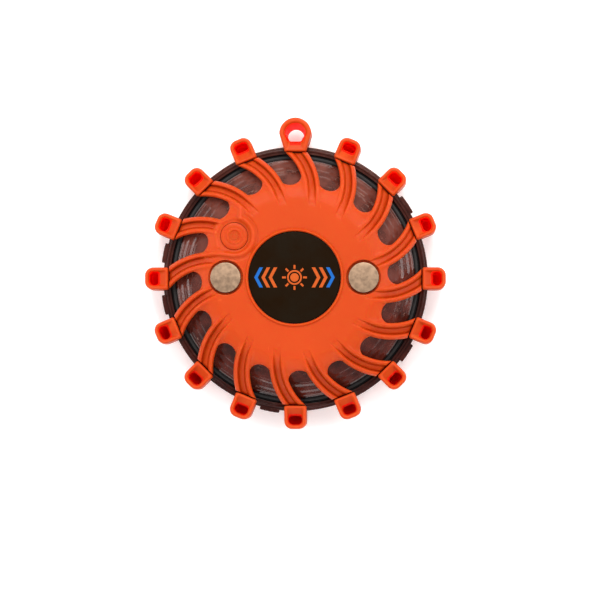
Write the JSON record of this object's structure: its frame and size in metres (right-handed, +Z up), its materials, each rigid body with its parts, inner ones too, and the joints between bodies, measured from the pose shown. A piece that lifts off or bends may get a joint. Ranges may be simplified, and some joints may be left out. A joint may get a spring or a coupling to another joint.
{
  "type": "led safety flare",
  "caption": "Round rechargeable warning light with a clear case between two orange rubber guards, swept arms, rim bumpers, a hanging eye, magnets and a press button.",
  "frame": {"origin": "the middle of the object's box in plan, on the surface that the front guard ring rests on", "axes": "+Z up through the case's axis, from the front ring to the magnet faces; +Y towards the hanging eye; +X to the right when the rear face is seen with the eye at the top"},
  "size_m": [0.127, 0.1316, 0.036],
  "materials": {
    "front_guard": "satin moulded elastomer, slightly translucent",
    "rear_guard": "satin moulded elastomer, slightly translucent",
    "power_button": "satin moulded elastomer",
    "front_lens": "clear polycarbonate, glossy, smoky over the dark inside",
    "rear_shell": "clear polycarbonate with fine concentric ridges",
    "rim_gasket": "matt black seal",
    "label_disc": "smooth black printed label",
    "magnet": "dull nickel plate with handling marks",
    "keeper_plate": "plain steel",
    "charge_contact": "gold-flashed brass",
    "button_seal": "matt black",
    "switch_body": "moulded black",
    "switch_plunger": "moulded off-white",
    "main_pcb": "green solder mask",
    "reflector": "bright white",
    "battery_cell": "silver laminate pouch",
    "battery_cradle": "moulded black",
    "battery_tab": "nickel strip",
    "foam_pad": "open-cell grey foam",
    "controller_chip": "moulded black epoxy",
    "inductor": "ferrite grey",
    "screw": "zinc-plated steel",
    "led": "red tinted epoxy lens"
  },
  "bodies": {
    "case": {"front_guard": "front_guard", "hanging_eye": "front_guard", "rear_guard": "rear_guard", "front_lens": "front_lens", "rear_shell": "rear_shell", "rim_gasket": "rim_gasket", "label_disc": "label_disc", "magnet_left": "magnet", "keeper_plate_left": "keeper_plate", "charge_contact_left": "charge_contact", "magnet_right": "magnet", "keeper_plate_right": "keeper_plate", "charge_contact_right": "charge_contact", "button_seal": "button_seal", "switch_body": "switch_body", "main_pcb": "main_pcb", "reflector": "reflector", "battery_cell": "battery_cell", "battery_cradle": "battery_cradle", "battery_tab_positive": "battery_tab", "battery_tab_negative": "battery_tab", "foam_pad": "foam_pad", "controller_chip": "controller_chip", "inductor": "inductor", "case_screw_1": "screw", "case_screw_2": "screw", "case_screw_3": "screw", "case_screw_4": "screw", "pcb_screw_1": "screw", "pcb_screw_2": "screw", "pcb_screw_3": "screw", "led_side_01": "led", "led_side_02": "led", "led_side_03": "led", "led_side_04": "led", "led_side_05": "led", "led_side_06": "led", "led_side_07": "led", "led_side_08": "led", "led_side_09": "led", "led_side_10": "led", "led_side_11": "led", "led_side_12": "led", "led_side_13": "led", "led_side_14": "led", "led_side_15": "led", "led_side_16": "led", "led_front_01": "led", "led_front_02": "led", "led_front_03": "led", "led_front_04": "led", "led_front_05": "led", "led_front_06": "led", "led_front_07": "led", "led_front_08": "led"},
    "button": {"power_button": "power_button"},
    "plunger": {"switch_plunger": "switch_plunger"}
  },
  "joints": [
    {"name": "power_button_press", "type": "slide", "parent": "case", "child": "button", "axis": [0, 0, -1], "range_m": [0, 0.0006], "stiffness_N_per_m": 400, "springref_m": -0.004},
    {"name": "switch_plunger_press", "type": "slide", "parent": "case", "child": "plunger", "axis": [0, 0, -1], "range_m": [0, 0.0006]}
  ],
  "couplings": [
    {"joint": "switch_plunger_press", "follows": "power_button_press", "ratio": 1}
  ]
}
